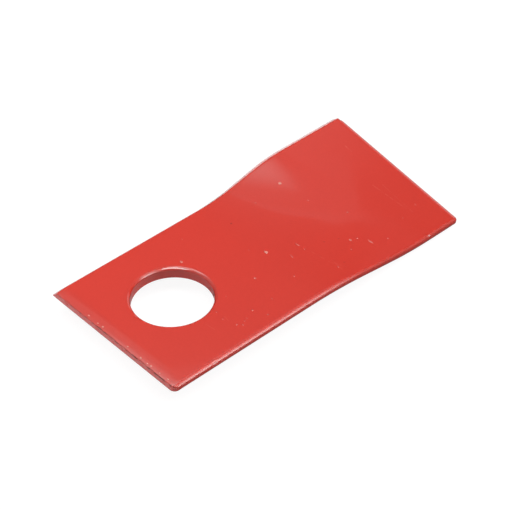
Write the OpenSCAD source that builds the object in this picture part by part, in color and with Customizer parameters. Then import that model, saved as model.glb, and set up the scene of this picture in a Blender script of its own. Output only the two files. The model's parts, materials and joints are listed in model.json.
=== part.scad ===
// Rotary mower blade: one stamped strip of spring steel, painted all over.
// The flat end hangs on the holder's pin by its bore, and the outer end is a wing twisted about
// the blade's length, so that its leading edge cuts low and its trailing edge lifts the crop.
// The leading edge is bevelled from below and the trailing one from above, so that the blade can
// be turned over when its first edge is worn.
// The origin is on the bore's axis at the flat's lower face, +X runs to the tip and +Y to the
// trailing edge.

/* [Strip] */
// Width across the two long edges
blade_w = 46; // [38:0.5:60]
// Thickness over the paint
blade_t = 3.2; // [2.6:0.1:5]
// Length of the straight wing from the end of the twist to the tip, in line with the bore
wing_len = 15.9; // [14:0.1:60]
// Plan radius of the tip corners and of the leading heel corner
corner_r = 1.6; // [0.6:0.1:4]
// Plan radius of the trailing heel corner, which is cropped sharp
cropped_corner_r = 0.4; // [0.2:0.1:3]

/* [Bore] */
// Diameter of the bore
bore_d = 20.5; // [14:0.1:24]
// Distance from the heel to the bore's axis
bore_to_heel = 19.9; // [16:0.1:30]
// Distance of the bore's axis from the centre line, towards the trailing edge
bore_offset = 1.2; // [0:0.1:4]

/* [Twist] */
// Angle of the wing against the flat, in degrees
twist_angle = 11; // [0:0.1:25]
// Distance from the bore's axis to the start of the twist
twist_start = 24.9; // [18:0.1:45]
// Length of the twisted stretch, in line with the bore
twist_len = 34.6; // [22:0.1:50]
// Share of the twisted stretch over which the twist eases in
ease_in = 0.45; // [0.05:0.05:0.5]
// Share of the twisted stretch over which the twist eases out
ease_out = 0.3; // [0.05:0.05:0.5]
// Distance of the twist's axis from the centre line, towards the leading edge
twist_axis_offset = 3.4; // [-10:0.1:10]
// Lean in plan of the first bend line, towards the tip at the trailing edge, in degrees
start_lean = 2.5; // [0:0.1:6]
// Lean in plan of the last bend line, towards the heel at the trailing edge, in degrees
end_lean = 12.7; // [0:0.1:16]

/* [Edges] */
// Radius of the rolled edges: above at the leading side, tip and bore, below at the trailing side
roll_r = 1; // [0.3:0.1:1.6]
// Height of the upright land between a rolled edge and its bevel
edge_land = 0.65; // [0.1:0.05:0.8]
// Angle of the cutting bevels under the leading side and over the trailing one, in degrees
bevel_angle = 45; // [25:1:60]
// Size of the chamfer under the cropped heel
heel_chamfer = 1.55; // [0.3:0.05:2.2]
// Break of the heel's sheared upper edge
heel_break = 0.15; // [0.05:0.05:0.4]
// Size of the chamfer under the tip
tip_chamfer = 0.6; // [0.2:0.1:1]

/* [Hidden] */

// Faces along each corner, along the twist and round the rolled edge
CORNER_STEPS = 5;
TWIST_STEPS = 30;
ROLL_STEPS = 5;
// Smallest plan radius that an inset corner keeps
LEAST_R = 0.05;
// Reach of a cut past the face that it opens
CUT_PAST = 1;

// Places of the four sides, seen from the bore's axis
heel_x = -bore_to_heel;
tip_x = twist_start + twist_len + wing_len;
leading_y = -blade_w / 2 - bore_offset;
trailing_y = blade_w / 2 - bore_offset;

// The twist turns each cross-section about this line
axis_y = -bore_offset - twist_axis_offset;
axis_z = blade_t / 2;

bevel_h = blade_t - roll_r - edge_land;
bevel_w = bevel_h / tan(bevel_angle);

// The heel and the tip have their full height up to here, inside the trailing bevel
shoulder_y = trailing_y - bevel_w - corner_r;

// The strip is a stack of outlines from the lower face to the upper one
LAYERS = ROLL_STEPS + 3;
CORNER_POINTS = CORNER_STEPS + 1;
EDGE_POINTS = TWIST_STEPS + 1;
LOOP_POINTS = 4 * CORNER_POINTS + 2 * EDGE_POINTS;
CAP_STRIPS = 2 * CORNER_POINTS + EDGE_POINTS - 1;

// Inset and height of the rolled edge, from its upright foot to the upper face
function roll_at(k) =
    let (a = 90 * (k - 2) / ROLL_STEPS)
    [roll_r * (1 - cos(a)), blade_t - roll_r + roll_r * sin(a)];

// Inset and height of each layer on the leading side
function leading_at(k) =
    k == 0 ? [bevel_w, 0] :
    k == 1 ? [0, bevel_h] :
    roll_at(k);

// The trailing side is the leading one turned over
function trailing_at(k) =
    let (twin = leading_at(LAYERS - 1 - k))
    [twin[0], blade_t - twin[1]];

// Inset and height of each layer on the tip and the heel
function tip_at(k) =
    k == 0 ? [tip_chamfer, 0] :
    k == 1 ? [0, tip_chamfer] :
    roll_at(k);

function heel_at(k) =
    k == 0 ? [heel_chamfer, 0] :
    k == LAYERS - 1 ? [heel_break, blade_t] :
    [0, heel_chamfer + (blade_t - heel_break - heel_chamfer) * (k - 1) / (LAYERS - 3)];

// Inset of the heel and of the tip at any height
function heel_inset(z) =
    z > blade_t - heel_break ? z - blade_t + heel_break :
    max(heel_chamfer - z, 0);

function tip_inset(z) =
    z > blade_t - roll_r ? roll_r - sqrt(max(pow(roll_r, 2) - pow(z - blade_t + roll_r, 2), 0)) :
    max(tip_chamfer - z, 0);

// Plan radius of a corner between two sides that are both inset
function inset_r(r, a, b) = max(r - max(a, b), LEAST_R);

// Quarter turn of a corner that blends the height of one side into the next
function corner(centre, r, from, z_from, z_to) = [
    for (j = [0:CORNER_STEPS])
        let (w = j / CORNER_STEPS, a = from + 90 * w)
        [centre.x + r * cos(a), centre.y + r * sin(a), z_from + (z_to - z_from) * w]
];

// Quarter turn of a trailing corner, which stays level so that the bevel runs out at the end face
function level_corner(centre, r, from, z) = [
    for (j = [0:CORNER_STEPS - 1])
        let (a = from + 90 * j / (CORNER_STEPS - 1))
        [centre.x + r * cos(a), centre.y + r * sin(a), z]
];

// Where the first and the last bend line cross a line along the blade
function first_bend(y) = twist_start + y * tan(start_lean);
function last_bend(y) = twist_start + twist_len - y * tan(end_lean);

// Point of a long edge on a bend line, numbered from the first one
function edge_point(i, y, z) =
    [first_bend(y) + (last_bend(y) - first_bend(y)) * i / TWIST_STEPS, y, z];

// Outline of one layer of the flat blank, counter-clockwise from the trailing heel corner
function outline(k) =
    let (
        heel = heel_at(k),
        tip = tip_at(k),
        lead = leading_at(k),
        trail = trailing_at(k),
        crop_in = heel_inset(trail[1]),
        trail_in = tip_inset(trail[1]),
        crop_r = inset_r(cropped_corner_r, crop_in, trail[0]),
        heel_r = inset_r(corner_r, heel[0], lead[0]),
        lead_r = inset_r(corner_r, tip[0], lead[0]),
        trail_r = inset_r(corner_r, trail_in, trail[0]),
        x0 = heel_x + heel[0],
        x1 = tip_x - tip[0],
        y0 = leading_y + lead[0],
        y1 = trailing_y - trail[0]
    )
    concat(
        level_corner([heel_x + crop_in + crop_r, y1 - crop_r], crop_r, 90, trail[1]),
        [[x0, shoulder_y, heel[1]]],
        corner([x0 + heel_r, y0 + heel_r], heel_r, 180, heel[1], lead[1]),
        [for (i = [0:TWIST_STEPS]) edge_point(i, y0, lead[1])],
        corner([x1 - lead_r, y0 + lead_r], lead_r, 270, lead[1], tip[1]),
        [[x1, shoulder_y, tip[1]]],
        level_corner([tip_x - trail_in - trail_r, y1 - trail_r], trail_r, 0, trail[1]),
        [for (i = [TWIST_STEPS:-1:0]) edge_point(i, y1, trail[1])]
    );

// Rise of the twist from 0 to 1, with a steady middle and eased ends
function eased(u) =
    let (rate = 1 / (1 - (ease_in + ease_out) / 2))
    u <= 0 ? 0 :
    u >= 1 ? 1 :
    u < ease_in ? rate * u * u / (2 * ease_in) :
    u > 1 - ease_out ? 1 - rate * (1 - u) * (1 - u) / (2 * ease_out) :
    rate * (u - ease_in / 2);

// Where the twist takes a point of the flat blank
function twisted(p) =
    let (
        first = first_bend(p.y),
        a = twist_angle * eased((p.x - first) / (last_bend(p.y) - first)),
        y = p.y - axis_y,
        z = p.z - axis_z
    )
    [p.x, axis_y + y * cos(a) - z * sin(a), axis_z + y * sin(a) + z * cos(a)];

// Two triangles of a quad whose corners run clockwise, seen from outside
function quad(a, b, c, d) = [[a, b, c], [a, c, d]];

// Number of the point on the leading or trailing side, counted from heel to tip
function leading(j) = CORNER_POINTS + j;
function trailing(j) = (LOOP_POINTS + CORNER_POINTS - 1 - j) % LOOP_POINTS;

function wall_faces() = [
    for (k = [0:LAYERS - 2], i = [0:LOOP_POINTS - 1])
        let (low = k * LOOP_POINTS, high = low + LOOP_POINTS, next = (i + 1) % LOOP_POINTS)
        each quad(low + i, high + i, high + next, low + next)
];

// Quad of a cap, split from the corner that keeps the outer points of the heel out of one triangle
function cap_quad(j, a, b, c, d) = j < CORNER_POINTS ? quad(b, c, d, a) : quad(a, b, c, d);

function lower_faces() = [
    for (j = [0:CAP_STRIPS - 1])
        each cap_quad(j, leading(j), leading(j + 1), trailing(j + 1), trailing(j))
];

function upper_faces() = [
    for (j = [0:CAP_STRIPS - 1])
        let (top = (LAYERS - 1) * LOOP_POINTS)
        each cap_quad(
            j, top + leading(j), top + trailing(j), top + trailing(j + 1), top + leading(j + 1)
        )
];

module twisted_strip() {
    polyhedron(
        points = [for (k = [0:LAYERS - 1]) each [for (p = outline(k)) twisted(p)]],
        faces = concat(wall_faces(), lower_faces(), upper_faces())
    );
}

// The punch leaves a straight bore with a rolled upper rim
module bore_cut() {
    rotate_extrude($fn = 96) {
        translate([0, -CUT_PAST])
            square([bore_d / 2, blade_t + 2 * CUT_PAST]);
        translate([bore_d / 2, blade_t - roll_r])
            difference() {
                translate([-CUT_PAST, 0])
                    square([CUT_PAST + roll_r, roll_r + CUT_PAST]);
                translate([roll_r, 0])
                    circle(r = roll_r, $fn = 48);
            }
    }
}

module blade() {
    color([0.82, 0.22, 0.18])
        difference() {
            twisted_strip();
            bore_cut();
        }
}

blade();
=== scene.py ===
# %% [markdown]
# # Rotary mower blade
#
# This lesson models a small blade for a rotary mower: a strip of spring steel with a flat end that
# hangs on a pin, a twisted stretch and a tilted wing, dipped in gloss red paint. The CAD part gives
# the frame and the true size. Here the blade gets a finer skin, with rounded edges, the marks of the
# press and the paint.

# %% Load the frame
import json
import math
import random

import bmesh
import bpy
from mathutils import Matrix, Vector, noise


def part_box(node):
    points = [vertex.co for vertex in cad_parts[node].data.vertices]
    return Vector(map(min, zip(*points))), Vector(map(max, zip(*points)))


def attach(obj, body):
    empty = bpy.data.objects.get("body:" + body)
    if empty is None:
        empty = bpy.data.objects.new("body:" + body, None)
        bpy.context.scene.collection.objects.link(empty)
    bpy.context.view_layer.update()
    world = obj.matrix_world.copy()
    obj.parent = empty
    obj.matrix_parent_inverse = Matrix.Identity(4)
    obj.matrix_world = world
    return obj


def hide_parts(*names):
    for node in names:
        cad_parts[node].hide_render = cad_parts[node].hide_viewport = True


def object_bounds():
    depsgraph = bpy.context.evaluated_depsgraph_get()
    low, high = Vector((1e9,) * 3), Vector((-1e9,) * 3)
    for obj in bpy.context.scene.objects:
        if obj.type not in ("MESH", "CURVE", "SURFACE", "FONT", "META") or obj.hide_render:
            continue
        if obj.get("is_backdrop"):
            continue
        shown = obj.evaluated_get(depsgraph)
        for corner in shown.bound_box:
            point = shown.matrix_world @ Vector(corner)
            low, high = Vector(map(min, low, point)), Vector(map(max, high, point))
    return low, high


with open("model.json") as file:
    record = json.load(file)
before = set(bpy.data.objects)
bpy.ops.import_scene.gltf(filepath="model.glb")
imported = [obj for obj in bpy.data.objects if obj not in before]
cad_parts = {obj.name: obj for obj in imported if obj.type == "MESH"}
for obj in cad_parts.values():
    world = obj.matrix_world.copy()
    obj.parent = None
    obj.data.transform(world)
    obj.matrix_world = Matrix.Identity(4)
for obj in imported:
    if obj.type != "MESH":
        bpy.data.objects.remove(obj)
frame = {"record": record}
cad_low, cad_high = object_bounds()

bpy.ops.object.select_all(action="DESELECT")
print("CAD box in mm:", [round(1000 * v, 2) for v in cad_high - cad_low])

# %% [markdown]
# ## Sizes
#
# All sizes are in millimetres and are turned into metres where a mesh is made. The ends come from
# the CAD box, the bore and the thickness from the record's mounts, and the twist from the part.
# The blade can be turned over: what the leading edge has above, the trailing edge has below.

# %% Sizes of the blade
MM = 0.001
mounts = {m["name"]: m for m in frame["record"]["mounts"]}
box_low, box_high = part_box("blade")

HEEL_X = box_low.x / MM
TIP_X = box_high.x / MM
WIDTH = 46
# Distance of the bore from the centre line, towards the trailing edge
BORE_OFFSET = 1.2
LEADING_Y = -0.5 * WIDTH - BORE_OFFSET
TRAILING_Y = 0.5 * WIDTH - BORE_OFFSET
THICK = mounts["upper_seat"]["pos_m"][2] / MM
BORE_R = mounts["hanging_bore"]["dims"]["r_mm"]
print("heel", round(HEEL_X, 2), "tip", round(TIP_X, 2), "bore", BORE_R)
print("leading", round(LEADING_Y, 2), "trailing", round(TRAILING_Y, 2))

# %% [markdown]
# ## The edge profiles
#
# A rolled edge is a quarter circle, left where the strip was rolled or the press pulled the metal
# down. A cutting bevel is a 45 degree flat. Paint softens the creases at both ends of a bevel, so
# each crease becomes a small arc. A Bevel modifier could round the edges too, but it would round all
# of them alike. So a profile is a list of (inset, height) steps from the upper face to the lower
# one, and all four sides have the same number of steps, so that rings can join them.

# %% Profiles of the rolled and the bevelled edge
# Depth of the rolled edges, which is their reach too, and the longer reach of the one at the tip
ROLL = 1.0
TIP_ROLL = 1.6
ROLL_STEPS = 12
# Reach of the cutting bevels, and of the arcs that soften their creases
BEVEL = 1.55
BEVEL_ANGLE = math.radians(45)
SOFT = 0.2
SOFT_STEPS = 3


def rolled(reach=ROLL):
    turns = [0.5 * math.pi * k / ROLL_STEPS for k in range(ROLL_STEPS + 1)]
    return [(reach * (1 - math.sin(a)), THICK - ROLL * (1 - math.cos(a))) for a in turns]


def bevelled():
    radius = SOFT / math.tan(0.5 * BEVEL_ANGLE)
    land = THICK - BEVEL - SOFT
    turns = [BEVEL_ANGLE * k / SOFT_STEPS for k in range(SOFT_STEPS + 1)]
    upper = [(BEVEL + SOFT - radius * math.sin(a), THICK - radius * (1 - math.cos(a))) for a in turns]
    lower = [(radius * (1 - math.cos(a)), land + radius * math.sin(a)) for a in reversed(turns)]
    return upper + lower


def turned_over(profile):
    return [(inset, THICK - z) for inset, z in reversed(profile)]


print("steps in a roll:", len(rolled()), "steps in a bevel:", len(bevelled()))

# %% Profiles of the four sides
# Break of the heel's sheared edge, and chamfer under the tip
HEEL_BREAK = 0.15
TIP_CHAMFER = 0.6

leading = rolled() + turned_over(bevelled())
trailing = bevelled() + turned_over(rolled())
foot = leading[ROLL_STEPS + 1][1]
drop = (THICK - HEEL_BREAK - foot) / ROLL_STEPS
heel = [(HEEL_BREAK, THICK)]
heel += [(0, THICK - HEEL_BREAK - drop * k) for k in range(ROLL_STEPS)]
heel += turned_over(bevelled())
tip = rolled(TIP_ROLL)
tip += [(0, z) for _, z in turned_over(bevelled())[:SOFT_STEPS + 1]]
shares = [k / SOFT_STEPS for k in range(SOFT_STEPS + 1)]
tip += [(TIP_CHAMFER * share, TIP_CHAMFER * (1 - share)) for share in shares]


def inset_at(profile, z):
    """Inset of a profile at any height."""
    for (a, top), (b, bottom) in zip(profile, profile[1:]):
        if bottom <= z <= top:
            return a + (b - a) * (top - z) / (top - bottom)
    return profile[-1][0]


print("steps in each profile:", len(leading), len(trailing), len(heel), len(tip))

# %% [markdown]
# ## The outline of one ring
#
# Each ring runs round the blank at one step of the profiles. Along the blade its points stand on the
# columns of a grid: upright lines round the bore, then lines that follow the leaning bend lines of
# the twist. So the twist later bends the grid along its own edges, without any creases across them.

# %% Columns along the blade
# Half the side of the square block of faces that the bore takes out
BLOCK = 13.0
HEEL_COLUMNS = 14
BORE_COLUMNS = 56
FLAT_COLUMNS = 24
TWIST_COLUMNS = 76
WING_COLUMNS = 34
# Where the first and the last bend line cross the bore's line, and how they lean in plan
FIRST_BEND, FIRST_LEAN = 24.9, math.tan(math.radians(2.5))
LAST_BEND, LAST_LEAN = 59.5, math.tan(math.radians(12.7))


def first_bend(y):
    return FIRST_BEND + y * FIRST_LEAN


def last_bend(y):
    return LAST_BEND - y * LAST_LEAN


def spaced(start, end, count):
    """Even steps from the start, which is left out, to the end."""
    return [start + (end - start) * k / count for k in range(1, count + 1)]


def columns(start, end, y):
    """Places along a long side at y, between its two corners."""
    xs = spaced(start, -BLOCK, HEEL_COLUMNS)
    xs += spaced(-BLOCK, BLOCK, BORE_COLUMNS)
    xs += spaced(BLOCK, first_bend(y), FLAT_COLUMNS)
    xs += spaced(first_bend(y), last_bend(y), TWIST_COLUMNS)
    return xs + spaced(last_bend(y), end, WING_COLUMNS)[:-1]


LONG_SIDE = HEEL_COLUMNS + BORE_COLUMNS + FLAT_COLUMNS + TWIST_COLUMNS + WING_COLUMNS - 1
print("columns along the blade:", LONG_SIDE)

# %% Corners and ends of a ring
# Plan radii of the corners: two plain ones, the leading tip corner and the cropped heel corner
CORNER_R = 1.6
TIP_CORNER_R = 1.1
CROPPED_R = 0.4
# Least radius that an inset corner keeps
LEAST_R = 0.05
# The heel and the tip keep their own height up to here, inside the trailing bevel
SHOULDER_Y = TRAILING_Y - BEVEL - CORNER_R
# Steps of a corner, and rows of faces across the blade
ARC = 5
ROWS = 98


def clamped(value, low=0, high=1):
    return min(max(value, low), high)


def arc(x, y, r, start, z_from, z_to):
    """Quarter turn of a corner that blends the height of one side into the next."""
    turns = [(k / ARC, math.radians(start + 90 * k / ARC)) for k in range(ARC + 1)]
    return [(x + r * math.cos(a), y + r * math.sin(a), z_from + (z_to - z_from) * w) for w, a in turns]


def end_side(x_of, height, trail_z, y_from, y_to):
    """Points across an end, whose height runs into the trailing side's past the shoulder."""
    points = []
    for y in spaced(y_from, y_to, ROWS)[:-1]:
        w = clamped((y - SHOULDER_Y) / (max(y_from, y_to) - SHOULDER_Y))
        z = height + (trail_z - height) * w
        points.append((x_of(z), y, z))
    return points


def inset_r(r, *insets):
    """Plan radius of a corner between two sides that are both inset."""
    return max(r - max(insets), LEAST_R)


print("shoulder of the ends:", round(SHOULDER_Y, 2), "mm from the bore's line")

# %% Outlines of the blank
def outline(k):
    """Points of the ring at step k, counter-clockwise from the cropped heel corner."""
    (lead_in, lead_z), (trail_in, trail_z) = leading[k], trailing[k]
    (heel_in, heel_z), (tip_in, tip_z) = heel[k], tip[k]
    crop_in, far_in = inset_at(heel, trail_z), inset_at(tip, trail_z)
    crop_r, far_r = inset_r(CROPPED_R, crop_in, trail_in), inset_r(CORNER_R, far_in, trail_in)
    heel_r, lead_r = inset_r(CORNER_R, heel_in, lead_in), inset_r(TIP_CORNER_R, tip_in, lead_in)
    x0, x1 = HEEL_X + heel_in, TIP_X - tip_in
    y0, y1 = LEADING_Y + lead_in, TRAILING_Y - trail_in
    crop_x, far_x = HEEL_X + crop_in + crop_r, TIP_X - far_in - far_r
    near_columns = columns(x0 + heel_r, x1 - lead_r, y0)
    far_columns = columns(crop_x, far_x, y1)
    ring = arc(crop_x, y1 - crop_r, crop_r, 90, trail_z, trail_z)
    ring += end_side(lambda z: HEEL_X + inset_at(heel, z), heel_z, trail_z, y1 - crop_r, y0 + heel_r)
    ring += arc(x0 + heel_r, y0 + heel_r, heel_r, 180, heel_z, lead_z)
    ring += [(x, y0, lead_z) for x in near_columns]
    ring += arc(x1 - lead_r, y0 + lead_r, lead_r, 270, lead_z, tip_z)
    ring += end_side(lambda z: TIP_X - inset_at(tip, z), tip_z, trail_z, y0 + lead_r, y1 - far_r)
    ring += arc(far_x, y1 - far_r, far_r, 0, trail_z, trail_z)
    ring += [(x, y1, trail_z) for x in reversed(far_columns)]
    return [Vector(p) * MM for p in ring]


rings = [outline(k) for k in range(len(leading))]
AROUND = len(rings[0])
print("rings:", len(rings), "points round a ring:", AROUND)

# %% [markdown]
# ## The wall
#
# The wall starts as a circle with one vertex for each point of the outline. Its vertices are moved
# onto the upper outline, and then the ring is extruded step by step down the profiles. A plain
# extrude goes one way for all vertices, so each new vertex is then moved to its own place.

# %% Start with the upper outline
bpy.ops.mesh.primitive_circle_add(vertices=AROUND, radius=0.5 * WIDTH * MM)
blade = bpy.context.active_object
blade.name = "painted_blade"
bpy.ops.object.mode_set(mode="EDIT")
bpy.ops.mesh.select_mode(type="VERT")
bm = bmesh.from_edit_mesh(blade.data)
bm.verts.ensure_lookup_table()
for i, p in enumerate(rings[0]):
    bm.verts[i].co = p
bmesh.update_edit_mesh(blade.data)
print("vertices in the upper outline:", len(bm.verts))

# %% Extrude the wall
# Places are compared to this many digits of a metre
KEY_DIGITS = 9


def key(p):
    return tuple(round(v, KEY_DIGITS) for v in p)


def extrude_to(places):
    """Extrudes the selected edges and moves each new vertex to its place, found by where it starts."""
    bpy.ops.mesh.extrude_region_move(TRANSFORM_OT_translate={"value": (0, 0, 0)})
    mesh = bmesh.from_edit_mesh(blade.data)
    for v in mesh.verts:
        if v.select:
            v.co = places[key(v.co)]
    bmesh.update_edit_mesh(blade.data)


bpy.ops.mesh.select_all(action="SELECT")
for above, below in zip(rings, rings[1:]):
    extrude_to({key(a): b for a, b in zip(above, below)})
print("faces in the wall:", len(bmesh.from_edit_mesh(blade.data).faces))

# %% [markdown]
# ## The two faces
#
# Each face is a bridge from the leading side of its ring to the trailing side, cut into rows. Filling
# the ring with one large face would be quicker, but the twist needs a grid that it can bend. The
# bridge's end rows lie on the heel and the tip, and merging by distance joins them to the wall.

# %% Bridge the upper and the lower face
# Vertices closer than this, in metres, become one
MERGE_REACH = 1e-6
# Points of a long side with the arcs of its two corners, and where the two sides start in a ring
CHAIN = LONG_SIDE + 2 * (ARC + 1)
LEADING_START = ARC + ROWS
TRAILING_START = LEADING_START + CHAIN + ROWS - 1


def select_points(points):
    bpy.ops.mesh.select_all(action="DESELECT")
    wanted = {key(p) for p in points}
    mesh = bmesh.from_edit_mesh(blade.data)
    for v in mesh.verts:
        v.select = key(v.co) in wanted
    mesh.select_flush(True)
    bmesh.update_edit_mesh(blade.data)


for ring in (rings[0], rings[-1]):
    near_side = [ring[LEADING_START + k] for k in range(CHAIN)]
    far_side = [ring[(TRAILING_START + k) % AROUND] for k in range(CHAIN)]
    select_points(near_side + far_side)
    bpy.ops.mesh.bridge_edge_loops(number_cuts=ROWS - 1, interpolation="LINEAR")
bpy.ops.mesh.select_all(action="SELECT")
bpy.ops.mesh.remove_doubles(threshold=MERGE_REACH)
open_edges = sum(1 for e in bmesh.from_edit_mesh(blade.data).edges if not e.is_manifold)
print("open edges after both faces:", open_edges)

# %% [markdown]
# ## The bore
#
# A punch went through from above: it pulled the rim down into a rolled edge and left an upright wall.
# The rim is no plain quarter circle: it is a little flatter in its middle, so it shines as a broad
# band. A Boolean could cut the hole, but it would leave long thin faces in the grid. So a square
# block of faces is taken out of both faces, and the square loops are extruded inwards to circles.

# %% Steps down the rim
# Width of the rim, seen from above
RIM_ROLL = 0.8
# Turn at which the rim is flatter, how much longer its steps are there, and over what turn
RIM_FLAT = math.radians(42)
RIM_STRETCH = 2.5
RIM_SPREAD = 0.18


def bore_rim():
    """Steps of (inset, height) from the upper face down to the wall."""
    turns = [0.5 * math.pi * (k + 0.5) / ROLL_STEPS for k in range(ROLL_STEPS)]
    lengths = [1 + RIM_STRETCH * math.exp(-((a - RIM_FLAT) / RIM_SPREAD) ** 2) for a in turns]
    scale = RIM_ROLL / sum(n * math.cos(a) for n, a in zip(lengths, turns))
    steps = [(RIM_ROLL, THICK)]
    for n, a in zip(lengths, turns):
        inset, z = steps[-1]
        steps.append((inset - scale * n * math.cos(a), z - scale * n * math.sin(a)))
    return steps


print("depth of the rim:", round(THICK - bore_rim()[-1][1], 2), "mm")

# %% Take a block out of both faces
# How near to the height of a face its parts have to lie
FACE_REACH = 0.01

bpy.ops.mesh.select_mode(type="FACE")
bpy.ops.mesh.select_all(action="DESELECT")
bm = bmesh.from_edit_mesh(blade.data)
for f in bm.faces:
    x, y, z = f.calc_center_median() / MM
    on_face = z > THICK - FACE_REACH or z < FACE_REACH
    f.select = abs(x) < BLOCK and abs(y) < BLOCK and on_face
bmesh.update_edit_mesh(blade.data)
bpy.ops.mesh.delete(type="FACE")
bpy.ops.mesh.select_mode(type="EDGE")
bm = bmesh.from_edit_mesh(blade.data)
print("open edges round the block:", sum(1 for e in bm.edges if e.is_boundary))

# %% [markdown]
# The lower loop goes inwards first, to the edge of the bore. The upper one goes inwards to a circle,
# down the rim and down the wall, whose foot ends just above the lower edge. A bridge closes the gap
# between the two, as a small broken edge. The lower loop comes first because the wall's foot would
# otherwise be picked together with it.

# %% Punch the bore
# Size of the broken edge under the bore
BORE_BREAK = 0.12
# Insets of the circles that ease the square loops of the upper and the lower face into the bore
UPPER_RINGS = (1.6, 1.2)
LOWER_RINGS = (1.0, BORE_BREAK)


def select_hole(above):
    """Selects the open loops in the upper or the lower half."""
    bpy.ops.mesh.select_all(action="DESELECT")
    mesh = bmesh.from_edit_mesh(blade.data)
    for e in mesh.edges:
        middle = (e.verts[0].co.z + e.verts[1].co.z) / 2
        e.select = e.is_boundary and (middle > 0.5 * THICK * MM) == above
    mesh.select_flush(True)
    bmesh.update_edit_mesh(blade.data)


def extrude_to_circle(radius, z):
    """Extrudes the selected loop to a circle round the bore's axis."""
    mesh = bmesh.from_edit_mesh(blade.data)
    places = {}
    for v in mesh.verts:
        if v.select:
            a = math.atan2(v.co.y, v.co.x)
            places[key(v.co)] = Vector((radius * math.cos(a), radius * math.sin(a), z)) * MM
    extrude_to(places)


select_hole(False)
for inset in LOWER_RINGS:
    extrude_to_circle(BORE_R + inset, 0)
select_hole(True)
for inset, z in [(inset, THICK) for inset in UPPER_RINGS] + bore_rim() + [(0, BORE_BREAK)]:
    extrude_to_circle(BORE_R + inset, z)
bpy.ops.mesh.select_all(action="DESELECT")
bm = bmesh.from_edit_mesh(blade.data)
for e in bm.edges:
    e.select = e.is_boundary
bm.select_flush(True)
bmesh.update_edit_mesh(blade.data)
bpy.ops.mesh.bridge_edge_loops()
bpy.ops.mesh.select_all(action="SELECT")
bpy.ops.mesh.normals_make_consistent(inside=False)
bm = bmesh.from_edit_mesh(blade.data)
print("open edges:", sum(1 for e in bm.edges if not e.is_manifold))
print("volume in mm3:", round(bm.calc_volume() / MM ** 3))
bpy.ops.object.mode_set(mode="OBJECT")

# %% [markdown]
# ## The cropped heel
#
# The shear that cropped the strip pulled the upper face down over the last few millimetres, leant
# the end face back and left a ragged lip. Proportional editing could pull such a lip down by hand.
# Here a formula gives each vertex its fall from its distance to the heel, because the fall has to be
# even across the whole width. Only the lip itself is uneven, by a fixed noise.

# %% Fall and raggedness of the heel
# How far from the heel the fall starts, its slope at the heel and how late it steepens
FALL_REACH = 3.3
FALL_SLOPE = math.tan(math.radians(10))
FALL_POWER = 3
# Waves of the ragged lip: waves in a millimetre, row of the noise and share
LIP_WAVES = ((0.55, 0.3, 1), (1.7, 4.1, 0.6))
# Less metal was pulled down towards the leading corner: from where, over what width and how much less
CORNER_FROM = -8
CORNER_RUN = 14
CORNER_LESS = 0.2


def heel_fall(reach):
    """Fall of the upper face, whose slope grows from nothing to its full value at the heel."""
    u = clamped(reach / FALL_REACH)
    return FALL_SLOPE * FALL_REACH * (1 - u - (1 - u ** (FALL_POWER + 1)) / (FALL_POWER + 1))


def ragged(y, seed):
    return max(sum(share * noise.noise((rate * y, seed, row)) for rate, row, share in LIP_WAVES), 0)


def corner_share(y):
    """0 over most of the heel, rising to 1 at the leading corner."""
    return clamped((CORNER_FROM - y) / CORNER_RUN)


print("fall of the upper face at the heel:", round(heel_fall(0), 2), "mm")

# %% Pull the heel down
# How fast the fall fades towards the lower face
FALL_DEPTH = 1.5
# How far the end face leans back at its top, and within what reach of it the metal goes along
LEAN = 0.3
LEAN_REACH = 1
# The ragged lip: its reach, its share of the end face, and how far it goes back and down
LIP_REACH = 0.2
LIP = 0.45
LIP_BACK, BACK_SEED = 0.22, 1.0
LIP_DOWN, DOWN_SEED = 0.16, 7.0

lip_count = 0
for v in blade.data.vertices:
    x, y, z = v.co / MM
    reach = x - HEEL_X
    if reach < FALL_REACH:
        height = max(z / THICK, 0)
        upper = clamped((z - BEVEL) / (THICK - BEVEL))
        z -= heel_fall(reach) * (1 - CORNER_LESS * corner_share(y)) * height ** FALL_DEPTH
        x += LEAN * upper * max(1 - reach / LEAN_REACH, 0)
        if reach < LIP_REACH and upper > 1 - LIP:
            x += LIP_BACK * ragged(y, BACK_SEED)
            z -= LIP_DOWN * ragged(y, DOWN_SEED)
            lip_count += 1
        v.co = Vector((x, y, z)) * MM
print("vertices in the ragged lip:", lip_count)

# %% [markdown]
# ## Nicks
#
# Handling has left small nicks on the leading edge and on the rim of the bore. Each is one vertex
# pushed in with proportional editing, which takes its neighbours along less and less.

# %% Push in the nicks
# Place, push and size of each nick
NICKS = [
    ((-7.3, LEADING_Y + 0.25, 2.7), (0, 0.16, -0.1), 0.8),
    ((64.5, LEADING_Y + 0.3, 2.8), (0, 0.14, -0.08), 0.9),
    ((-10.8, 0.2, 3.1), (-0.1, 0, -0.2), 0.8),
]

bpy.ops.object.mode_set(mode="EDIT")
bpy.ops.mesh.select_mode(type="VERT")
for place, push, size in NICKS:
    bpy.ops.mesh.select_all(action="DESELECT")
    bm = bmesh.from_edit_mesh(blade.data)
    nearest = min(bm.verts, key=lambda v: (v.co / MM - Vector(place)).length)
    nearest.select = True
    bmesh.update_edit_mesh(blade.data)
    bpy.ops.transform.translate(
        value=Vector(push) * MM, use_proportional_edit=True,
        proportional_edit_falloff="SMOOTH", proportional_size=size * MM,
    )
bpy.ops.object.mode_set(mode="OBJECT")
print("nicks:", len(NICKS))

# %% [markdown]
# ## Dust in the paint
#
# Dust that fell into the wet paint stands up as small nibs. Their pale pink is partly the dust and
# partly a painted glint, and the chips on the heel's lip are pale mostly as a painted glint. A bump in
# the paint could show them, but only a raised form catches the light on one side. One low dome is
# modelled from an icosphere and copied to each place, stretched and turned a little. The copies are
# joined to the blade while it is still flat, so the twist carries them along.

# %% Model one nib
# Height at which the sphere, 1 mm wide, is cut below its middle
DOME_CUT = -0.2

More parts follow.
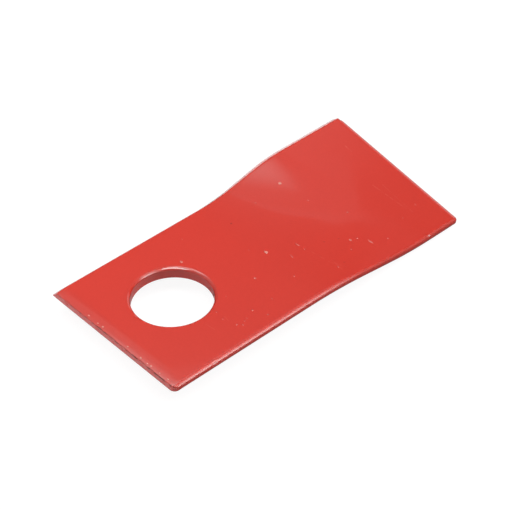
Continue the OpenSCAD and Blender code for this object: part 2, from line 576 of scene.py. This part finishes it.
bpy.ops.object.select_all(action="DESELECT")
bpy.ops.mesh.primitive_ico_sphere_add(subdivisions=2, radius=0.5 * MM)
dome = bpy.context.active_object
dome.name = "dust_nib"
bpy.ops.object.mode_set(mode="EDIT")
bpy.ops.mesh.select_all(action="SELECT")
bpy.ops.mesh.bisect(plane_co=(0, 0, DOME_CUT * MM), plane_no=(0, 0, 1), clear_inner=True, use_fill=True)
bpy.ops.object.mode_set(mode="OBJECT")
bpy.ops.object.shade_smooth()
print("vertices in a nib:", len(dome.data.vertices))

# %% Set the dust nibs
# Place in plan, length and width of each nib
NIBS = [
    (27.5, -3.5, 1.2, 0.8), (9.8, 8.1, 0.9, 0.65), (46.5, 12.4, 0.9, 0.8), (35.2, -6.6, 1.7, 0.45),
    (46.8, -13.5, 0.9, 0.6), (50.6, -16.9, 1.9, 0.5), (31.1, -8.9, 1.7, 0.4), (19.0, -8.8, 0.8, 0.55),
    (10.8, -17.0, 0.6, 0.5), (5.8, -19.1, 0.5, 0.4), (6.9, -18.5, 0.45, 0.35), (8.0, -18.1, 0.45, 0.35),
    (4.8, -18.1, 0.45, 0.35), (37.2, -19.1, 0.6, 0.4), (53.2, -5.8, 0.6, 0.4), (26.5, -14.8, 0.5, 0.4),
    (12.5, -20.6, 0.5, 0.4), (44.5, -16.2, 0.6, 0.4), (55.2, -18.5, 0.6, 0.4), (48.6, -14.1, 0.6, 0.4),
    (35.4, -8.9, 0.5, 0.4), (4.1, -11.6, 0.5, 0.4), (37.8, 11.9, 0.5, 0.4), (69.4, -14.2, 0.6, 0.4),
    (17.0, -17.1, 0.5, 0.35), (15.5, 14.5, 0.45, 0.35), (63.5, -15.6, 0.5, 0.35), (48.0, 3.5, 0.45, 0.35),
    (9.5, -9.0, 0.45, 0.35), (24.8, 0.0, 0.45, 0.35), (3.6, -14.4, 0.45, 0.35), (-18.8, -20.9, 0.7, 0.4),
    (-18.9, -18.0, 0.5, 0.4), (-18.9, -14.8, 0.7, 0.45), (-19.0, -13.6, 0.5, 0.4),
    (-18.9, -11.1, 0.7, 0.45), (-18.8, -6.1, 0.5, 0.4), (-18.8, 3.2, 0.6, 0.45),
    (-18.9, 5.0, 0.5, 0.4), (-18.8, 8.6, 0.6, 0.45),
]
# Height of a nib as a share of its width, and its largest turn
NIB_HEIGHT = 0.35
NIB_TURN = 0.4
NIB_SEED = 11

rng = random.Random(NIB_SEED)
nibs = []
for x, y, length, width in NIBS:
    nib = bpy.data.objects.new("dust_nib_copy", dome.data.copy())
    bpy.context.collection.objects.link(nib)
    nib.location = Vector((x, y, THICK - heel_fall(x - HEEL_X))) * MM
    nib.scale = (width, length, NIB_HEIGHT * width)
    nib.rotation_euler.z = rng.uniform(-NIB_TURN, NIB_TURN)
    nibs.append(nib)
bpy.data.objects.remove(dome)

plain_count = len(blade.data.vertices)
for nib in nibs:
    nib.select_set(True)
blade.select_set(True)
bpy.context.view_layer.objects.active = blade
bpy.ops.object.join()
print("nibs:", len(NIBS), "with", len(blade.data.vertices) - plain_count, "vertices")

# %% [markdown]
# ## Marks for the paint
#
# The paint needs to know two things that its place alone can't tell: which vertices are dust nibs,
# whose pale pink is partly a painted glint, and where the heel's lip has a dark band of thin paint and
# painted shade. Both could be painted on by hand as vertex colours. Here they go into attributes of
# the mesh, because both follow from the forms made above.

# %% Mark the dust and its painted glints
# The pale share is partly the dust's own tint and partly a painted glint, mostly glint on the heel's
# chips
# Nibs within this reach of the heel are the palest, and elsewhere a wide nib is paler than a narrow one
HEEL_CHIP_GLINT_REACH, HEEL_CHIP_GLINT = 2, 0.55
DUST_GLINT_PER_WIDTH, DUST_GLINT_LESS = 1.2, 0.45
DUST_GLINT_LEAST, DUST_GLINT_MOST = 0.06, 0.5


def dust_and_glint_share(x, width):
    if x < HEEL_X + HEEL_CHIP_GLINT_REACH:
        return HEEL_CHIP_GLINT
    return clamped(DUST_GLINT_PER_WIDTH * width - DUST_GLINT_LESS, DUST_GLINT_LEAST, DUST_GLINT_MOST)


dust_and_glint_mark = blade.data.attributes.new("dust_and_glint", "FLOAT", "POINT")
per_nib = (len(blade.data.vertices) - plain_count) // len(NIBS)
for k, (x, y, length, width) in enumerate(NIBS):
    for i in range(plain_count + k * per_nib, plain_count + (k + 1) * per_nib):
        dust_and_glint_mark.data[i].value = dust_and_glint_share(x, width)
print("dusty vertices:", per_nib * len(NIBS))

# %% Mark the thin paint and the painted shade under the lip
# The dark band of thin paint and painted shade lies within this reach of the heel, this far below
# the lip and inside both corners
LIP_BAND_REACH = 0.75
LIP_BAND_TOP, LIP_BAND_BOTTOM = 0.02, 0.26
LIP_BAND_HALF_WIDTH = 22
# How its raggedness becomes a share: by what it is multiplied, what is taken off, and the least share
LIP_BAND_SEED = 3.0
LIP_BAND_GAIN, LIP_BAND_LESS, LIP_BAND_LEAST = 5, 0.4, 0.1


def lip_shade_share(y):
    return clamped(LIP_BAND_GAIN * ragged(y, LIP_BAND_SEED) - LIP_BAND_LESS, LIP_BAND_LEAST)


# The dark band under the lip is thin paint with painted shade
thin_and_shade_mark = blade.data.attributes.new("thin_paint_and_shade", "FLOAT", "POINT")
for v in blade.data.vertices:
    x, y, z = v.co / MM
    below_lip = THICK - heel_fall(0) - LIP_DOWN * ragged(y, DOWN_SEED) - z
    in_band = LIP_BAND_TOP < below_lip < LIP_BAND_BOTTOM and abs(y + BORE_OFFSET) < LIP_BAND_HALF_WIDTH
    lip_band = x - HEEL_X < LIP_BAND_REACH and in_band
    thin_and_shade_mark.data[v.index].value = lip_shade_share(y) if lip_band else 0.0
print("torn vertices:", sum(1 for m in thin_and_shade_mark.data if m.value > 0))

# %% [markdown]
# ## The twist
#
# A press grips the flat and turns the outer end about a line a little off the centre. The turn eases
# in and out between two leaning bend lines. No operator turns a mesh between leaning lines, so each
# vertex of the blank is turned by the formula that the CAD part uses.

# %% Twist the wing
TWIST = math.radians(11)
# Shares of the twisted stretch over which the turn eases in and out
EASE_IN, EASE_OUT = 0.45, 0.3
# The line that the wing turns about, towards the leading edge from the centre line
TWIST_OFFSET = 3.4
AXIS_Y, AXIS_Z = -BORE_OFFSET - TWIST_OFFSET, 0.5 * THICK
# Edges that turn less than this are shaded as round
ROUND_TURN = math.radians(35)


def eased(u):
    rate = 1 / (1 - (EASE_IN + EASE_OUT) / 2)
    u = clamped(u)
    if u < EASE_IN:
        return rate * u * u / (2 * EASE_IN)
    if u > 1 - EASE_OUT:
        return 1 - rate * (1 - u) ** 2 / (2 * EASE_OUT)
    return rate * (u - EASE_IN / 2)


def twisted(p):
    x, y, z = p
    first = first_bend(y)
    a = TWIST * eased((x - first) / (last_bend(y) - first))
    y, z = y - AXIS_Y, z - AXIS_Z
    turned_y = y * math.cos(a) - z * math.sin(a)
    turned_z = y * math.sin(a) + z * math.cos(a)
    return Vector((x, AXIS_Y + turned_y, AXIS_Z + turned_z))


for v in blade.data.vertices:
    v.co = twisted(v.co / MM) * MM
bpy.ops.object.shade_smooth_by_angle(angle=ROUND_TURN)
print("height of the twisted blade:", round(max(v.co.z for v in blade.data.vertices) / MM, 2), "mm")

# %% [markdown]
# ## The paint
#
# The blade is dipped in a gloss red enamel: a saturated red under a clear gloss, so it is a base with
# a coat on it. A painted picture could give it its marks, but nodes on the Object coordinates stay
# sharp at any distance and need no unwrapping. Small helpers add the nodes.

# %% Node helpers
def add(tree, kind, **settings):
    node = tree.nodes.new(kind)
    for name, value in settings.items():
        setattr(node, name, value)
    return node


def feed(tree, socket, value):
    """Links an output to the socket, or sets a plain value on it."""
    if hasattr(value, "is_output"):
        tree.links.new(value, socket)
    else:
        socket.default_value = value


def math_of(tree, operation, *values):
    node = add(tree, "ShaderNodeMath", operation=operation)
    for socket, value in zip(node.inputs, values):
        feed(tree, socket, value)
    return node.outputs[0]


def product(tree, result, *others):
    for value in others:
        result = math_of(tree, "MULTIPLY", result, value)
    return result


def total(tree, result, *others):
    for value in others:
        result = math_of(tree, "ADD", result, value)
    return result


def ramp(tree, value, span, levels, kind="SMOOTHSTEP"):
    """The first level up to the start of the span, then on to the second level at its end."""
    node = add(tree, "ShaderNodeMapRange", interpolation_type=kind)
    feed(tree, node.inputs["Value"], value)
    for name, number in zip(("From Min", "From Max", "To Min", "To Max"), (*span, *levels)):
        node.inputs[name].default_value = number
    return node.outputs[0]


print("helpers for numbers are ready")

# %% Helpers for colours and places
# The colour sockets of a Mix node, which share their names with its number sockets
MIX_A, MIX_B, MIX_RESULT = 6, 7, 2


def mm(*lengths):
    return tuple(n * MM for n in lengths)


def vector_of(tree, operation, a, b):
    node = add(tree, "ShaderNodeVectorMath", operation=operation)
    feed(tree, node.inputs[0], a)
    feed(tree, node.inputs[1], b)
    return node


def mix_colour(tree, factor, a, b):
    node = add(tree, "ShaderNodeMix", data_type="RGBA")
    feed(tree, node.inputs["Factor"], factor)
    feed(tree, node.inputs[MIX_A], a)
    feed(tree, node.inputs[MIX_B], b)
    return node.outputs[MIX_RESULT]


def place_of(tree):
    coords = add(tree, "ShaderNodeTexCoord")
    return coords.outputs["Object"]


def axes_of(tree, vector):
    split = add(tree, "ShaderNodeSeparateXYZ")
    tree.links.new(vector, split.inputs[0])
    return split.outputs["X"], split.outputs["Y"], split.outputs["Z"]


print("helpers for colours and places are ready")

# %% [markdown]
# ### The red and its marks
#
# Two noises give the red its cloudy and its fine mottling. The attributes made above bring in the
# pink of the dust with its painted glints, and the dark under the heel's lip, which is thin paint with
# painted shade.

# %% Red of the paint
RED = (0.69, 0.035, 0.018, 1)
DEEP_RED = (0.62, 0.026, 0.0125, 1)
# Pale pink of the dust nibs, partly a painted glint
DUST_AND_GLINT_PINK = (0.9, 0.42, 0.33, 1)
# Dark red of the thin paint and painted shade under the heel's lip, and of the dark specks
LIP_SHADE_AND_SPECK_RED = (0.2, 0.012, 0.009, 1)
# Scale and detail of the cloudy and of the fine mottling, and their shares
CLOUDS, CLOUD_SHARE = (45, 2), 0.35
MOTTLES, MOTTLE_SHARE = (1500, 4), 0.65

paint = bpy.data.materials.new("gloss_red_paint")
paint.use_nodes = True
tree = paint.node_tree
skin = tree.nodes["Principled BSDF"]
place = place_of(tree)


def noise_of(scale, detail):
    node = add(tree, "ShaderNodeTexNoise")
    tree.links.new(place, node.inputs["Vector"])
    node.inputs["Scale"].default_value = scale
    node.inputs["Detail"].default_value = detail
    return node.outputs["Fac"]


cloudy = math_of(tree, "MULTIPLY", noise_of(*CLOUDS), CLOUD_SHARE)
mottled = math_of(tree, "MULTIPLY_ADD", noise_of(*MOTTLES), MOTTLE_SHARE, cloudy)
colour = mix_colour(tree, mottled, RED, DEEP_RED)
paint_marks = {}
# Dust with its painted glint, and thin paint with its painted shade under the lip, go into the red
for mark, tone in (("dust_and_glint", DUST_AND_GLINT_PINK), ("thin_paint_and_shade", LIP_SHADE_AND_SPECK_RED)):
    paint_marks[mark] = add(tree, "ShaderNodeAttribute", attribute_name=mark).outputs["Fac"]
    colour = mix_colour(tree, paint_marks[mark], colour, tone)
print("nodes in the red:", len(tree.nodes))

# %% [markdown]
# ### Scratches and specks
#
# Fine pale scratches and a few dark specks lie in the paint's surface and have no depth to see. Each
# is a line in plan: its strength fades with the distance from the line, and a noise breaks it up.

# %% Scratches and specks in the paint
SCRATCH_PINK = (0.85, 0.2, 0.15, 1)
# Start and end in plan, half width and strength of each line
SCRATCHES = [
    ((65.1, -3.2), (66.4, -13.8), 0.28, 0.14), ((67.3, -4.5), (67.0, -15.7), 0.22, 0.1),
    ((-0.5, -13.0), (-0.2, -16.0), 0.2, 0.12), ((4.5, -14.0), (4.2, -16.0), 0.2, 0.12),
    ((36.0, -11.0), (36.5, -15.0), 0.25, 0.12), ((36.6, -16.2), (38.8, -20.6), 0.22, 0.1),
    ((37.8, -16.0), (37.2, -20.8), 0.2, 0.1), ((68.9, 8.8), (69.0, 11.0), 0.3, 0.2),
]
SPECKS = [
    ((28.4, 10.6), (28.6, 10.6), 0.35, 0.7), ((40.8, -10.1), (41.1, -10.3), 0.25, 0.4),
    ((38.0, -16.7), (38.3, -16.9), 0.25, 0.4), ((42.2, -15.0), (42.5, -15.2), 0.25, 0.35),
    ((36.4, -13.4), (36.7, -13.6), 0.2, 0.35), ((44.6, -11.5), (44.8, -11.6), 0.2, 0.35),
    ((39.5, -18.8), (39.8, -19.0), 0.25, 0.35), ((31.4, 3.4), (31.6, 3.5), 0.2, 0.3),
]
# Share of a line's half width that has its full strength
LINE_CORE = 0.2
# Scale and detail of the noise that breaks the lines up, the span that it uses and what it leaves
BREAKS = (900, 1)
BREAK_SPAN, BREAK_LEVELS = (0.4, 0.6), (0.2, 1)


def line_mark(start, end, width, depth):
    """Strength of a fine line from start to end, seen from above."""
    run = Vector((end[0] - start[0], end[1] - start[1], 0)) * MM
    flat = vector_of(tree, "MULTIPLY", place, (1, 1, 0)).outputs["Vector"]
    away = vector_of(tree, "SUBTRACT", flat, Vector((*start, 0)) * MM).outputs["Vector"]
    along = vector_of(tree, "DOT_PRODUCT", away, run).outputs["Value"]
    share = math_of(tree, "MULTIPLY", along, 1 / run.length_squared)
    share = math_of(tree, "MINIMUM", math_of(tree, "MAXIMUM", share, 0), 1)
    foot = add(tree, "ShaderNodeVectorMath", operation="SCALE")
    foot.inputs[0].default_value = run
    tree.links.new(share, foot.inputs["Scale"])
    gap = vector_of(tree, "DISTANCE", away, foot.outputs["Vector"]).outputs["Value"]
    return ramp(tree, gap, mm(LINE_CORE * width, width), (depth, 0))


broken = ramp(tree, noise_of(*BREAKS), BREAK_SPAN, BREAK_LEVELS)
for lines, tone in ((SCRATCHES, SCRATCH_PINK), (SPECKS, LIP_SHADE_AND_SPECK_RED)):
    for start, end, width, depth in lines:
        mark = math_of(tree, "MULTIPLY", line_mark(start, end, width, depth), broken)
        colour = mix_colour(tree, mark, colour, tone)
tree.links.new(colour, skin.inputs["Base Color"])
print("scratches:", len(SCRATCHES), "specks:", len(SPECKS))

# %% [markdown]
# ### The gloss
#
# The clear gloss is the coat of the Principled shader. It mirrors almost sharply, is missing where
# the paint is torn, and is rubbed dull along the leading edge of the flat. A very low bump gives it
# the orange peel of a thick wet coat.

# %% Gloss of the paint
BASE_ROUGH = 0.3
COAT_ROUGH = 0.06
# What rubbing adds at the leading edge, over what distance from it, and where it fades along the blade
RUB_ROUGH = 0.34
RUB_EDGE = mm(LEADING_Y + 0.6, LEADING_Y + 1.6)
RUB_END = mm(30, 45)
# Scale and detail of the orange peel's noise, its strength and its height
PEEL = (700, 1)
PEEL_STRENGTH = 0.03
PEEL_HEIGHT = 0.1

skin.inputs["Roughness"].default_value = BASE_ROUGH
peel = add(tree, "ShaderNodeBump")
peel.inputs["Strength"].default_value = PEEL_STRENGTH
peel.inputs["Distance"].default_value = PEEL_HEIGHT * MM
tree.links.new(noise_of(*PEEL), peel.inputs["Height"])
tree.links.new(peel.outputs[0], skin.inputs["Normal"])
tree.links.new(math_of(tree, "SUBTRACT", 1, paint_marks["thin_paint_and_shade"]), skin.inputs["Coat Weight"])
blade_x, blade_y, _ = axes_of(tree, place)
near_edge = ramp(tree, blade_y, RUB_EDGE, (RUB_ROUGH, 0))
on_flat = ramp(tree, blade_x, RUB_END, (1, 0))
rubbed = math_of(tree, "MULTIPLY_ADD", near_edge, on_flat, COAT_ROUGH)
tree.links.new(rubbed, skin.inputs["Coat Roughness"])
blade.data.materials.clear()
blade.data.materials.append(paint)
print("nodes in the paint:", len(tree.nodes))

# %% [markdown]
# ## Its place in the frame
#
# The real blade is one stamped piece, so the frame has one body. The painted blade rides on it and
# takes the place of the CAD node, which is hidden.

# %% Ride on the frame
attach(blade, "root")
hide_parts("blade")
print(blade.name, "has", len(blade.data.polygons), "faces")

# %% [markdown]
# ## The table
#
# The blade lies on a white table. More light would make the table white too, but it would bleach the
# paint. So the table is plain grey with a glow that only the camera sees, and it keeps the shadow.
# The gloss of the blade's sides mirrors the table, whose tone for the gloss is painted: pale behind
# the blade and beyond its heel, and dim in front of it as a painted shadow. From below the table is
# clear, so that the underside can be looked at.

# %% Helpers for light
WHITE = (1, 1, 1, 1)
# Light that the gloss mirrors is cooler than the plain light
COOL = (0.6, 1, 1, 1)


def mix(tree, factor, a, b):
    node = add(tree, "ShaderNodeMix", data_type="FLOAT")
    for name, value in (("Factor", factor), ("A", a), ("B", b)):
        feed(tree, node.inputs[name], value)
    return node.outputs["Result"]


def empty_material(name):
    material = bpy.data.materials.new(name)
    material.use_nodes = True
    material.node_tree.nodes.clear()
    return material


def glow_of(tree, strength, tone):
    node = add(tree, "ShaderNodeEmission")
    feed(tree, node.inputs["Strength"], strength)
    feed(tree, node.inputs["Color"], tone)
    return node.outputs[0]


def show(tree, shader, kind="ShaderNodeOutputMaterial"):
    out = add(tree, kind)
    tree.links.new(shader, out.inputs["Surface"])


print("helpers for light are ready")

# %% Lay the table
# Size in metres, and the gap in millimetres under the lowest point of the blade
FLOOR_SIZE = 8
FLOOR_GAP = 0.02

floor_z = min(v.co.z for v in blade.data.vertices) - FLOOR_GAP * MM
bpy.ops.mesh.primitive_plane_add(size=FLOOR_SIZE, location=(0, 0, floor_z))
floor = bpy.context.active_object
floor.name = "floor"
floor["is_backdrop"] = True
print("table at", round(floor_z / MM, 2), "mm")

# %% White of the table
# Glow for the camera, the table's tone for other light, and how much darker it is for the camera
FLOOR_GLOW = 0.92
FLOOR_TONE, FLOOR_DARKER = 0.55, -0.4
# The mirrored table is painted: pale behind the blade, up to its tip, and beyond its heel, and dim in
# front as a painted shadow
PALE = 0.95
PALE_BEHIND, PALE_TO_TIP, PALE_HEEL = mm(27, 50), mm(100, 120), mm(-22, -20)
DIM_FRONT, DIM_LEVELS = mm(-26, -20), (0.15, 0.5)

white = empty_material("white_table")
tree = white.node_tree
path = add(tree, "ShaderNodeLightPath")
seen = path.outputs["Is Camera Ray"]
x, y, _ = axes_of(tree, place_of(tree))
behind = product(tree, ramp(tree, y, PALE_BEHIND, (0, 1)), ramp(tree, x, PALE_TO_TIP, (1, 0)))
bright = math_of(tree, "MAXIMUM", behind, ramp(tree, x, PALE_HEEL, (1, 0)))
# Painted light and painted shadow that only the gloss sees on the table
mirrored = mix(tree, bright, ramp(tree, y, DIM_FRONT, DIM_LEVELS), PALE)
plain = math_of(tree, "MULTIPLY_ADD", seen, FLOOR_DARKER, FLOOR_TONE)
albedo = mix(tree, path.outputs["Is Glossy Ray"], plain, mirrored)
grey = add(tree, "ShaderNodeCombineColor")
for socket in grey.inputs:
    tree.links.new(albedo, socket)
shade = add(tree, "ShaderNodeBsdfDiffuse")
tree.links.new(grey.outputs[0], shade.inputs["Color"])
both = add(tree, "ShaderNodeAddShader")
tree.links.new(shade.outputs[0], both.inputs[0])
tree.links.new(glow_of(tree, math_of(tree, "MULTIPLY", seen, FLOOR_GLOW), WHITE), both.inputs[1])
facing = add(tree, "ShaderNodeNewGeometry")
clear = add(tree, "ShaderNodeBsdfTransparent")
either = add(tree, "ShaderNodeMixShader")
tree.links.new(facing.outputs["Backfacing"], either.inputs["Fac"])
tree.links.new(both.outputs[0], either.inputs[1])
tree.links.new(clear.outputs[0], either.inputs[2])
show(tree, either.outputs[0])
floor.data.materials.append(white)
print("nodes in the table:", len(tree.nodes))

# %% [markdown]
# ## The soft box
#
# A wide soft box hangs over the back of the table, and the twist and the wing mirror it as a pale
# sheen that fades along the blade. It is a plane that glows downwards. An area lamp is as bright all
# over, and here the glow has to fall off along the box, so that the sheen does too. The camera
# doesn't see it, and it casts no shadow.

# %% Hang the soft box
BOX_HEIGHT = 200
# The box lies askew over the table, and its ends are measured along and across it from the bore
ALONG_BOX, ACROSS_BOX = Vector((0.51, 0.86, 0)), Vector((0.86, -0.51, 0))
BOX_FROM, BOX_TO = (-10, -190), (174, 137)
box_size = [end - start for start, end in zip(BOX_FROM, BOX_TO)]
box_middle = [0.5 * (start + end) for start, end in zip(BOX_FROM, BOX_TO)]

centre = ALONG_BOX * box_middle[0] + ACROSS_BOX * box_middle[1] + Vector((0, 0, BOX_HEIGHT))
bpy.ops.mesh.primitive_plane_add(size=1, location=centre * MM)
softbox = bpy.context.active_object
softbox.name = "softbox"
softbox.scale = (*mm(*box_size), 1)
softbox.rotation_euler = (math.pi, 0, math.atan2(ALONG_BOX.y, ALONG_BOX.x))
softbox.visible_camera = softbox.visible_shadow = False
softbox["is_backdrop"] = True
print("soft box in mm:", box_size)

# %% Light the soft box
BOX_GLOW = 0.42
# The bright core: how it grows along the box, where it ends across it, and a dark corner left in it
CORE_ALONG, CORE_GLOW = (136, 55), 3.5
CORE_ACROSS = (58, 92)
DARK_ALONG, DARK_ACROSS = (90, 112), (-10, 20)
# The paler border at the far end of the box, and how it fades across it
BORDER_ALONG, BORDER_GLOW = (158, 166), 0.12
BORDER_ACROSS, BORDER_FADE = (100, 137), 0.3

lit = empty_material("softbox_light")
tree = lit.node_tree
unit_x, unit_y, _ = axes_of(tree, place_of(tree))
along = math_of(tree, "MULTIPLY_ADD", unit_x, box_size[0], box_middle[0])
across = math_of(tree, "MULTIPLY_ADD", unit_y, box_size[1], box_middle[1])
core_along = ramp(tree, along, CORE_ALONG, (0, CORE_GLOW), "LINEAR")
past_corner = ramp(tree, along, DARK_ALONG, (0, 1))
beside_corner = ramp(tree, across, DARK_ACROSS, (1, 0))
kept = math_of(tree, "MAXIMUM", past_corner, beside_corner)
core = product(tree, core_along, ramp(tree, across, CORE_ACROSS, (1, 0)), kept)
border_along = ramp(tree, along, BORDER_ALONG, (0, BORDER_GLOW))
border = product(tree, border_along, ramp(tree, across, BORDER_ACROSS, (1, BORDER_FADE)))
facing = add(tree, "ShaderNodeNewGeometry")
front = math_of(tree, "SUBTRACT", 1, facing.outputs["Backfacing"])
strength = product(tree, total(tree, core, border, BOX_GLOW), front)
path = add(tree, "ShaderNodeLightPath")
tone = mix_colour(tree, path.outputs["Is Glossy Ray"], WHITE, COOL)
show(tree, glow_of(tree, strength, tone))
softbox.data.materials.append(lit)
print("nodes in the soft box:", len(tree.nodes))

# %% [markdown]
# ## The front card
#
# The rolled leading edge faces the front of the table, and there it mirrors a bright upright card. A
# lamp would light the whole blade, so this is a card that only gloss mirrors. It is bright on the
# left of a line that leans to the right as it rises, so the bright edge ends before the wing.

# %% Stand up the front card
# Lower left corner of the card, its width and its height
CARD_CORNER = Vector((-30, -150, 2))
CARD_WIDTH, CARD_HEIGHT = 390, 360
# The leaning line, over what width the glow falls there, and its level on both sides
CARD_LEAN = -0.45
CARD_SPAN, CARD_GLOW = mm(68, 130), (8, 0.5)
# The card is dimmer high up and at its left end
HIGH_SPAN, HIGH_LEVELS = mm(60, 160), (1, 0.25)
LEFT_SPAN, LEFT_LEVELS = mm(-30, 40), (0.15, 1)

bpy.ops.mesh.primitive_plane_add(size=1)
panel = bpy.context.active_object
panel.name = "front_card"
bpy.ops.object.mode_set(mode="EDIT")
bm = bmesh.from_edit_mesh(panel.data)
for v in bm.verts:
    from_corner = Vector((CARD_WIDTH * (v.co.x + 0.5), 0, CARD_HEIGHT * (v.co.y + 0.5)))
    v.co = (CARD_CORNER + from_corner) * MM
bmesh.update_edit_mesh(panel.data)
bpy.ops.object.mode_set(mode="OBJECT")
card_light = empty_material("front_card")
tree = card_light.node_tree
x, _, z = axes_of(tree, place_of(tree))
from_line = math_of(tree, "MULTIPLY_ADD", z, CARD_LEAN, x)
strength = product(
    tree,
    ramp(tree, from_line, CARD_SPAN, CARD_GLOW),
    ramp(tree, z, HIGH_SPAN, HIGH_LEVELS),
    ramp(tree, x, LEFT_SPAN, LEFT_LEVELS),
)
show(tree, glow_of(tree, strength, COOL))
panel.data.materials.append(card_light)
panel.visible_camera = panel.visible_diffuse = panel.visible_shadow = False
panel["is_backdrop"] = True
print("card in mm:", CARD_WIDTH, "by", CARD_HEIGHT)

# %% [markdown]
# ## The lamp
#
# Most of the plain light comes from one wide lamp above and to the right. A small lamp would throw a
# hard shadow, and a wide disk throws the soft one of a diffuser. Gloss doesn't mirror it, because the
# soft box and the card stand for what the paint mirrors.

# %% Even lamp above the table
# Place, aim and width in metres, and power in watts
LAMP_AT, LAMP_AIM = Vector((0.8, -0.4, 0.95)), Vector((0.04, 0, 0))
LAMP_SIZE = 1.2
LAMP_POWER = 14.6

bpy.ops.object.light_add(type="AREA", location=LAMP_AT)
lamp = bpy.context.active_object
lamp.name = "ceiling_lamp"
lamp.data.shape = "DISK"
lamp.data.size = LAMP_SIZE
lamp.data.energy = LAMP_POWER
lamp.rotation_euler = (LAMP_AIM - LAMP_AT).to_track_quat("-Z", "Y").to_euler()
lamp.visible_glossy = False
print("lamp:", LAMP_POWER, "W over", LAMP_SIZE, "m")

# %% [markdown]
# ## The room
#
# The room round the table is dim, and the gloss mirrors it wherever it mirrors no box or card. A
# picture of a room could be wrapped round the scene. Here the world's nodes make a plain one, because
# only a few places of it show in the paint: a window, two walls and a strip light that the bore's rim
# mirrors. A direction divided by its height gives a place on the ceiling, to the right and behind.

# %% Places in the room
# Directions this low are taken as level
LEVEL = 0.05

world = bpy.data.worlds.new("studio")
bpy.context.scene.world = world
world.use_nodes = True
tree = world.node_tree
tree.nodes.clear()
coords = add(tree, "ShaderNodeTexCoord")
x, y, z = axes_of(tree, coords.outputs["Generated"])
up = math_of(tree, "MAXIMUM", z, LEVEL)
aside = math_of(tree, "DIVIDE", x, up)
behind = math_of(tree, "DIVIDE", y, up)


def between(value, rise, fall, level=1):
    """The level between two spans, and nothing outside them."""
    return product(tree, ramp(tree, value, rise, (0, level)), ramp(tree, value, fall, (1, 0)))


print("nodes for places in the room:", len(tree.nodes))

# %% Ceiling, window and walls
# The ceiling dims to the right, towards the front and towards the horizon
CEILING_RIGHT, CEILING_LEVELS = (0.3, 1.15), (0.32, 0.14)
CEILING_FRONT, FRONT_DIM = (0.2, 0.4), 0.12
HORIZON, HORIZON_DIM = (0, 0.5), 0.35
# The window: where it starts and ends, behind and to the right, and its level
WINDOW_BEHIND, WINDOW_GLOW = ((0.33, 0.42), (0.47, 0.56)), 0.38
WINDOW_ASIDE = ((0.58, 0.68), (0.72, 0.84))
# The right wall: where it starts, its level, and how far behind its ends lie for a step to the right
RIGHT_START, RIGHT_GLOW = (1.25, 1.65), 0.8
RIGHT_ENDS = ((-0.1, 0.1), (0.48, 0.6))
# The left wall: how far to the left it starts, and its level
LEFT_START, LEFT_GLOW = (-0.2, -0.6), 0.4

ceiling = ramp(tree, aside, CEILING_RIGHT, CEILING_LEVELS, "LINEAR")
ceiling = product(tree, ceiling, ramp(tree, behind, CEILING_FRONT, (FRONT_DIM, 1)))
window = product(tree, between(behind, *WINDOW_BEHIND, WINDOW_GLOW), between(aside, *WINDOW_ASIDE))
room = product(tree, total(tree, ceiling, window), ramp(tree, z, HORIZON, (HORIZON_DIM, 1)))
turn = math_of(tree, "DIVIDE", y, math_of(tree, "MAXIMUM", x, LEVEL))
right_wall = ramp(tree, aside, RIGHT_START, (0, RIGHT_GLOW))
right_wall = product(tree, right_wall, between(turn, *RIGHT_ENDS))
left_wall = ramp(tree, x, LEFT_START, (0, LEFT_GLOW))
room = total(tree, room, right_wall, left_wall)
print("nodes in the plain room:", len(tree.nodes))

# %% Strip light and background
# The strip hangs across the line from the table to the camera, seen from above
TO_CAMERA, TO_SIDE = (-0.6, -0.8), (0.8, -0.6)
STRIP_NEARER, STRIP_GLOW = ((0.38, 0.5), (0.85, 1.05)), 12
STRIP_END = (0.6, 0.9)


def ceiling_place(direction):
    """How far a place on the ceiling lies in a direction."""
    return total(tree, product(tree, aside, direction[0]), product(tree, behind, direction[1]))


from_middle = math_of(tree, "ABSOLUTE", ceiling_place(TO_SIDE))
strip = between(ceiling_place(TO_CAMERA), *STRIP_NEARER, STRIP_GLOW)
strip = product(tree, strip, ramp(tree, from_middle, STRIP_END, (1, 0)))
path = add(tree, "ShaderNodeLightPath")
mirrored = path.outputs["Is Glossy Ray"]
light = total(tree, room, product(tree, strip, mirrored))
sky = add(tree, "ShaderNodeBackground")
tree.links.new(mix_colour(tree, mirrored, WHITE, COOL), sky.inputs["Color"])
tree.links.new(mix(tree, path.outputs["Is Camera Ray"], light, 1), sky.inputs["Strength"])
show(tree, sky.outputs[0], "ShaderNodeOutputWorld")
print("nodes in the room:", len(tree.nodes))

# %% [markdown]
# ## The camera
#
# A camera could be set by eye until the blade looks right. This one stands where a fit to the outline
# and the bore puts it, with a long lens, so that the two long sides come out nearly parallel.

# %% Camera
CAMERA_AT = (-201.28, -259.68, 300.90)
CAMERA_FORWARD = Vector((0.49816, 0.5669, -0.6561)).normalized()
CAMERA_UP = Vector((0.44909, 0.47859, 0.7545))
SENSOR, LENS = 36, 129.4906
# Farthest place that the camera sees, in metres
FARTHEST = 20

bpy.ops.object.camera_add(location=mm(*CAMERA_AT))
camera = bpy.context.active_object
right = CAMERA_FORWARD.cross(CAMERA_UP).normalized()
turned = Matrix((right, right.cross(CAMERA_FORWARD), -CAMERA_FORWARD)).transposed()
camera.matrix_world = Matrix.Translation(camera.location) @ turned.to_4x4()
camera.data.sensor_width = SENSOR
camera.data.lens = LENS
camera.data.clip_end = FARTHEST
bpy.context.scene.camera = camera
bpy.context.scene.view_settings.view_transform = "Standard"
print("camera", round(camera.location.length, 3), "m from the bore")

# %% [markdown]
# ## Both boxes
#
# The box of the painted blade is printed next to the box of the CAD part, so that the two can be
# compared.

# %% Print both boxes
low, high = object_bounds()
for name, corners in (("CAD", (*cad_low, *cad_high)), ("visual", (*low, *high))):
    print(name, "box in mm:", [round(v / MM, 3) for v in corners])
